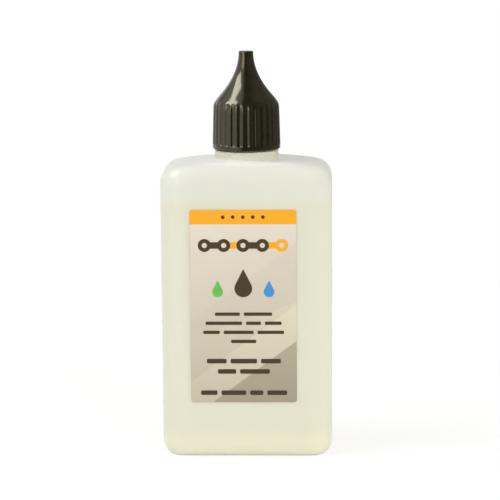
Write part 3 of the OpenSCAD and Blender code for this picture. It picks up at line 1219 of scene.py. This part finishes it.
@dataclass
class Cap:
    """The ribbed cap with its hollow spire, in millimetres.

    Attributes:
        rim: Height of the rim.
        height: Height from rim to tip.
        radius: Radius at the rim.
        draft: Draft of the skirt, in degrees.
        tip_r: Radius of the flat tip.
        flare_h: Height of the flare.
        power: Power of the flare.
        alone: Share of the flare, from the tip down, where the skirt doesn't count.
        blend: Softness between the flare and the skirt.
        band: Height of the smooth band at the rim.
        grooves: Number of grooves.
        phase: Share of a groove's pitch by which the first is turned.
        cutter: Radius of a groove.
        depth: Depth of a groove.
        soft: Softness of the ridges' edges.
        start: Height over which a groove starts.
        round_r: Radius of the rim's and the tip's rounded edges.
        bore: Radius of the skirt's bore.
        seat: Height of the land on the sealing ring.
        land: Inner radius of that land.
        ceiling: Height of the top of the spire's hollow.
        spire_wall: Thickness of the spire's wall.
        pin_r: Radius of the pin that plugs the outlet.
        pin_low: Height of the pin's end.
        columns: Steps round the axis.
        step: Longest stretch of the inside's profile.
        thread: The bore's thread.
    """

    rim: float = 93.2
    height: float = 29.4
    radius: float = 10.32
    draft: float = 1.55
    tip_r: float = 2.2
    flare_h: float = 15.23
    power: float = 2.06
    alone: float = 0.55
    blend: float = 0.6
    band: float = 1.4
    grooves: int = 30
    phase: float = 0.7
    cutter: float = 0.9
    depth: float = 0.3
    soft: float = 0.15
    start: float = 0.06
    round_r: float = 0.3
    bore: float = 9.05
    seat: float = 105.7
    land: float = 5.7
    ceiling: float = 118.5
    spire_wall: float = 1.05
    pin_r: float = 0.5
    pin_low: float = 116.05
    columns: int = 450
    step: float = 0.45
    thread: Thread = field(default_factory=lambda: Thread(start=96.0))

    def skin(self, h: Array) -> Array:
        """Radius of the skin over the rim.

        The skirt narrows with its draft, and the flare widens from the tip by a power of the way
        down. Near the tip the flare alone counts, and below it the two are joined by a soft
        minimum: the blend times the logarithm of the sum of both exponentials, taken negative.

        Args:
            h: Height over the rim.

        Returns:
            The radius.
        """
        slope = math.tan(math.radians(self.draft))
        skirt = self.radius - h * slope
        top = self.radius - (self.height - self.flare_h) * slope
        way = np.maximum(self.height - h, 0.0) / self.flare_h
        flare = self.tip_r + (top - self.tip_r) * way**self.power
        soft = -self.blend * np.log(np.exp(-skirt / self.blend) + np.exp(-flare / self.blend))
        return np.where(h >= self.height - self.alone * self.flare_h, flare, soft)

    def groove(self, angle: Array, radius: Array, h: Array) -> Array:
        """How far a groove cuts into the skirt.

        A groove is a round cutter that stands outside the skirt. Where the cutter reaches inside
        the skin, the cut is the skin's radius less the cutter's near side, with the edges of the
        ridges rounded by a soft maximum, and it starts by a short smooth step over the rim's band.

        Args:
            angle: Angle round the axis.
            radius: Radius of the skin.
            h: Height over the rim.

        Returns:
            The depth of the cut.
        """
        pitch = 2.0 * math.pi / self.grooves
        away = (angle / pitch - self.phase + 0.5) % 1.0 - 0.5
        slope = math.tan(math.radians(self.draft))
        line = self.radius - self.band * slope - (h - self.band) * slope
        centre = line + self.cutter - self.depth
        across = centre * np.sin(away * pitch)
        reach = np.sqrt(np.maximum(self.cutter**2 - across**2, 0.0))
        cut = radius - (centre * np.cos(away * pitch) - reach)
        rounded = self.soft * np.log1p(np.exp(np.clip(cut / self.soft, -30.0, 30.0)))
        return rounded * smooth_step(self.band, self.band + self.start, h)

    def outside(self) -> Array:
        """The skin with its grooves, from the rim up to the tip.

        Returns:
            A grid of points.
        """
        # Rows are close where the grooves start and where the ridges run out into the flare
        spans = (
            (self.round_r, self.band - 0.1, 5),
            (self.band, self.band + self.start, 4),
            (self.band + 0.5, 11.0, 20),
            (11.3, 16.0, 30),
            (16.4, self.height - self.round_r, 38),
        )
        heights = np.concatenate([np.linspace(*span) for span in spans])
        profile = np.stack([self.skin(heights), self.rim + heights], 1)
        angle, skin, z = revolve(profile, self.columns)
        wall = to_points(angle, skin - self.groove(angle, skin, heights[:, None]), z)
        turn = np.linspace(0.0, math.pi / 2, 6)
        flat, steep = (self.round_r * (1 - share) for share in (np.sin(turn), np.cos(turn)))
        low = np.stack([self.radius - flat, self.rim + steep], 1)[:-1]
        top = self.rim + self.height
        end = np.stack([profile[-1, 0] - steep, top - flat], 1)[1:]
        high = np.concatenate([end, [(1.2, top), (0.5, top)]])
        low, high = (to_points(*revolve(line, self.columns)) for line in (low, high))
        return np.concatenate([low, wall, high])

    def inside(self) -> Array:
        """The pin, the spire's hollow, the land and the threaded bore, from the middle down.

        Returns:
            A grid of points.
        """
        low = self.height - self.flare_h
        h = np.linspace(self.ceiling - self.rim, low, 16)
        step = 0.2
        slope = (self.skin(h - step) - self.skin(h + step)) / (2 * step)
        hollow = np.minimum(self.skin(h) - self.spire_wall * np.sqrt(1 + slope**2), self.land)
        spire = list(zip(hollow.tolist(), (self.rim + h).tolist()))
        corners = [
            (0.2, self.pin_low),
            (self.pin_r, self.pin_low),
            (self.pin_r, self.ceiling),
            *spire,
            (self.land, self.seat),
            (self.bore, self.seat),
            (self.bore, self.rim),
            (self.radius - self.round_r, self.rim),
        ]
        radii = [0, 0.12, 0.1] + [0.15] + [0.0] * (len(spire) - 1) + [0.1, 0.3, 0.3, 0.0]
        profile = subdivide(rounded_profile(corners, radii), self.step)
        angle, radius, z = revolve(profile, self.columns)
        on_bore = (np.abs(radius - self.bore) < 0.01) & (z > self.rim + 0.4) & (z < self.seat - 0.4)
        return to_points(angle, radius - np.where(on_bore, self.thread.ridge(angle, z), 0.0), z)

    def make(self) -> Object:
        """Join the inside and the outside into one closed shell.

        Returns:
            The piece.
        """
        piece = closed_mesh("spire_cap", [np.concatenate([self.inside(), self.outside()[1:]])])
        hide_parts("cap")
        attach(piece, Body.CAP.value)
        piece.data.materials.append(BlackPolypropylene().build())
        return piece


@dataclass
class Label:
    """The printed label, whose plates keep the frame's own meshes.

    Attributes:
        finishes: The finish of each node.
    """

    finishes: dict[str, Finish] = field(
        default_factory=lambda: {
            "label_film": PrintedFilm(
                stops=((17.0, "B1A998"), (42.0, "BCB5A6"), (58.0, "C4BDAF"), (76.5, "CFCABC")),
                facets=(
                    (0.5, 0.866, 56.0, (0.98, 0.98, 0.98)),
                    (-0.6, 0.8, 44.0, (1.05, 1.05, 1.05)),
                ),
            ),
            "label_orange": PrintedFilm(
                name="varnished_orange_ink",
                slot=Slot.ORANGE,
                stops=((40.0, "E49B10"), (76.5, "E8A010")),
            ),
            "label_taupe": PrintedFilm(
                name="varnished_taupe_ink",
                slot=Slot.TAUPE,
                stops=((17.0, "978D7A"), (36.0, "A49B87"), (54.0, "B0A793")),
                facets=(
                    (-0.6, 0.8, 20.0, (1.5, 1.57, 1.68)),
                    (-0.6, 0.8, 29.0, (0.9, 0.9, 0.9)),
                ),
            ),
            "label_print": PrintedFilm(
                name="varnished_dark_ink",
                slot=Slot.DARK,
                stops=((17.0, "3A2D14"), (76.5, "3F3118")),
                accents=((-8.54, 52.4, 3.5, "5FAF4E"), (6.94, 52.4, 3.5, "3A86C8")),
            ),
        }
    )

    def dress(self, nodes: Mapping[str, Object]) -> list[Object]:
        """Give each plate its ink or film.

        Args:
            nodes: The frame's node objects by name.

        Returns:
            The dressed nodes.
        """
        for name, finish in self.finishes.items():
            piece = nodes[name]
            piece.data.materials.clear()
            piece.data.materials.append(finish.build())
        return [nodes[name] for name in self.finishes]


# Stage


@dataclass(frozen=True)
class Lamp:
    """A soft lamp aimed at the bottle.

    Attributes:
        name: The lamp's name.
        turn: Degrees round from the front, negative to the left.
        lift: Degrees over the horizon.
        distance: Metres from the bottle's middle.
        size: Width and height in metres.
        power: Watts.
        colour: sRGB hex colour.
        gloss_only: Whether the lamp shows in gloss alone and lights nothing.
    """

    name: str
    turn: float
    lift: float
    distance: float
    size: Pair
    power: float
    colour: str
    gloss_only: bool = False

    def make(self) -> None:
        """Place the lamp."""
        lamp = bpy.data.lights.new(self.name, "AREA")
        lamp.shape = "RECTANGLE"
        lamp.size, lamp.size_y = self.size
        lamp.energy = self.power
        lamp.color = linear(self.colour)[:3]
        thing = bpy.data.objects.new(self.name, lamp)
        turn, lift = math.radians(self.turn), math.radians(self.lift)
        flat = self.distance * math.cos(lift)
        thing.location = (
            flat * math.sin(turn),
            -flat * math.cos(turn),
            AIM + self.distance * math.sin(lift),
        )
        thing.rotation_euler = (math.pi / 2 - lift, 0.0, turn)
        thing.visible_diffuse = not self.gloss_only
        thing.visible_transmission = not self.gloss_only
        thing.visible_volume_scatter = not self.gloss_only
        bpy.context.scene.collection.objects.link(thing)


@dataclass(frozen=True)
class DarkCloth:
    """A curved upright cloth round the bottle, which shows in gloss alone.

    It gives a glossy piece its dark side. It is black in front, dark grey on the right and behind,
    and paler towards its end on the left. Its near edge leans over to the left, and behind the
    bottle its lower edge is lifted, so that the shoulder mirrors the white room.

    Attributes:
        radius: Distance from the axis, in metres.
        near: Degrees round from the front to its near edge, at the bottom and at the top.
        end: Degrees round from the front to its other end.
        reach: Heights of its lower and its upper edge, in metres.
        lift: How far its lower edge is lifted behind, in metres.
        lifted: Degrees round from the front between which that lift grows.
        grey_back: Its grey over y, as two places in metres and the grey at each.
        grey_side: The grey over x that is added to it.
        columns: Points along an edge.
    """

    radius: float = 0.5
    near: Pair = (-16.0, -60.0)
    end: float = 236.0
    reach: Pair = (0.002, 4.0)
    lift: float = 0.3
    lifted: Pair = (150.0, 180.0)
    grey_back: tuple[Pair, Pair] = ((-0.45, -0.05), (0.0, 0.22))
    grey_side: tuple[Pair, Pair] = ((0.0, -0.4), (0.0, 0.3))
    columns: int = 63

    def make(self) -> None:
        """Hang the cloth."""
        rows = []
        for near, z, lift in zip(self.near, self.reach, (self.lift, 0.0)):
            degrees = np.linspace(near, self.end, self.columns)
            turn = np.radians(degrees)
            height = z + lift * smooth_step(*self.lifted, degrees)
            rows.append(
                np.stack([self.radius * np.sin(turn), -self.radius * np.cos(turn), height], -1)
            )
        low, high = np.arange(2 * self.columns).reshape(2, self.columns)
        faces = np.stack([low[:-1], low[1:], high[1:], high[:-1]], -1)
        flag = new_object("dark_flag", np.stack(rows), faces.tolist(), False)
        material, tree = new_material("dark_cloth")
        place = add_node(tree, "ShaderNodeTexCoord").outputs["Object"]
        back = map_range(tree, separate(tree, place, "Y"), *self.grey_back)
        side = map_range(tree, separate(tree, place, "X"), *self.grey_side)
        grey = calculate(tree, "ADD", back, side)
        glow = add_node(
            tree, "ShaderNodeEmission", {"Color": linear("FFFFFF")}, {"Strength": grey}
        )
        add_node(tree, "ShaderNodeOutputMaterial", links={"Surface": glow.outputs[0]})
        flag.data.materials.append(material)
        flag.visible_camera = False
        flag.visible_diffuse = False
        flag.visible_transmission = False
        flag.visible_shadow = False


@dataclass
class Studio:
    """The plain pale floor, the soft lamps and the camera.

    Attributes:
        lamps: The soft lamps.
        cloth: The dark cloth.
        sweep: Radii of the floor's rings, in metres.
        drop: How far the floor lies below the standing ring, in metres.
        fade: Distances from the bottle between which the floor turns white.
        plain: Share of plain white in the floor at each of these.
        ambient: Strength of the room's light.
        eye: The camera's place, in metres.
        turns: The camera's turns about its own x, y and z in that order, in degrees.
        lens: Focal length on a sensor 36 mm wide.
    """

    lamps: tuple[Lamp, ...] = (
        Lamp("key_softbox", -74.0, 50.0, 0.9, (0.48, 0.46), 4.2, "FFFCF6"),
        Lamp("key_gloss", -74.0, 50.0, 0.895, (0.48, 0.46), 2.3, "D8E2FF", True),
        Lamp("low_gloss", -40.0, 16.0, 1.0, (0.44, 0.52), 2.2, "FFFAEA", True),
        Lamp("right_fill", 36.0, 25.0, 1.1, (0.6, 0.6), 4.8, "FFFBF0"),
        Lamp("shoulder_fill", 88.0, 45.0, 1.1, (0.6, 0.6), 1.3, "FFF4DC"),
    )
    cloth: DarkCloth = DarkCloth()
    sweep: tuple[float, ...] = (0.05, 0.2, 0.6, 2.0, 6.0)
    drop: float = 0.00003
    fade: Pair = (0.03, 0.3)
    plain: Pair = (0.7, 1.0)
    ambient: float = 0.66
    eye: tuple[float, float, float] = (0.0221, -0.6486, 0.176)
    turns: tuple[float, float, float] = (80.0, 1.851, -0.08)
    lens: float = 154.8

    def floor(self) -> None:
        """A wide round floor, just under the standing ring.

        To the eye, in gloss and through clear walls it is a mix of plain white and of its lit
        surface, so it is white and still keeps the shadow.
        """
        columns = 64
        radius = np.array(self.sweep)[:, None]
        grid = to_points(around(columns), radius, np.full((len(radius), columns), -self.drop))
        index = np.arange(len(radius) * columns).reshape(-1, columns)
        after = np.roll(index, -1, axis=1)
        quads = np.stack([index[:-1], index[1:], after[1:], after[:-1]], -1).reshape(-1, 4)
        floor = new_object("studio_floor", grid, quads.tolist() + [index[0].tolist()], False)
        material, tree = new_material("white_paper_sweep")
        matt = add_node(tree, "ShaderNodeBsdfDiffuse", {"Color": linear("F8F8F8")})
        white = add_node(tree, "ShaderNodeEmission", {"Color": linear("FFFFFF"), "Strength": 1.0})
        place = add_node(tree, "ShaderNodeTexCoord").outputs["Object"]
        away = add_node(tree, "ShaderNodeVectorMath", {"operation": "LENGTH"}, {0: place})
        fade = map_range(tree, away.outputs["Value"], self.fade, self.plain)
        share = calculate(tree, "MULTIPLY", self.seen(tree), fade)
        links = {0: share, 1: matt.outputs[0], 2: white.outputs[0]}
        mixed = add_node(tree, "ShaderNodeMixShader", links=links)
        add_node(tree, "ShaderNodeOutputMaterial", links={"Surface": mixed.outputs[0]})
        floor.data.materials.append(material)

    @staticmethod
    def seen(tree: Tree) -> Socket:
        """One for rays from the eye, in gloss or through a clear wall, else 0.

        Args:
            tree: The node tree.

        Returns:
            The number's socket.
        """
        path = add_node(tree, "ShaderNodeLightPath").outputs
        first = calculate(tree, "MAXIMUM", path["Is Camera Ray"], path["Is Glossy Ray"])
        return calculate(tree, "MAXIMUM", first, path["Is Transmission Ray"])

    def room(self) -> None:
        """White to the eye, in gloss and through clear walls, and a plain soft light elsewhere."""
        world = bpy.data.worlds.new("white_room")
        bpy.context.scene.world = world
        world.use_nodes = True
        tree = world.node_tree
        tree.nodes.clear()
        strength = map_range(tree, self.seen(tree), end=(self.ambient, 1.0))
        light = add_node(
            tree, "ShaderNodeBackground", {"Color": linear("FFFFFF")}, {"Strength": strength}
        )
        add_node(tree, "ShaderNodeOutputWorld", links={"Surface": light.outputs[0]})

    def camera(self) -> None:
        """The camera at the photograph's place."""
        data = bpy.data.cameras.new("camera")
        data.sensor_width = 36.0
        data.lens = self.lens
        data.clip_start = 0.01
        data.clip_end = 50.0
        thing = bpy.data.objects.new("camera", data)
        thing.location = self.eye
        turn = Matrix.Identity(3)
        for degrees, axis in zip(self.turns, "XYZ"):
            turn = turn @ Matrix.Rotation(math.radians(degrees), 3, axis)
        thing.rotation_euler = turn.to_euler()
        bpy.context.scene.collection.objects.link(thing)
        bpy.context.scene.camera = thing

    def make(self) -> None:
        """Set up the stage."""
        self.floor()
        self.cloth.make()
        self.room()
        self.camera()
        for lamp in self.lamps:
            lamp.make()
        bpy.context.scene.view_settings.view_transform = "Standard"


def corners(box: tuple[Any, Any]) -> list[list[float]]:
    """A box as plain lists of numbers.

    Args:
        box: Its lowest and its highest corner.

    Returns:
        The same corners.
    """
    return [[float(v) for v in corner] for corner in box]


def main() -> None:
    """Load the frame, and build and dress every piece."""
    logging.basicConfig(level=logging.INFO, format="%(name)s: %(message)s")
    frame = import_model()
    pieces: list[Object] = []
    pieces += Bottle().make()
    pieces.append(Insert().make())
    pieces.append(Seal().make())
    pieces.append(Cap().make())
    pieces += Label().dress(frame["nodes"])
    for piece in pieces:
        LOG.info("%s: %d faces", piece.name, len(piece.data.polygons))
    Studio().make()


if __name__ == "__main__":
    main()
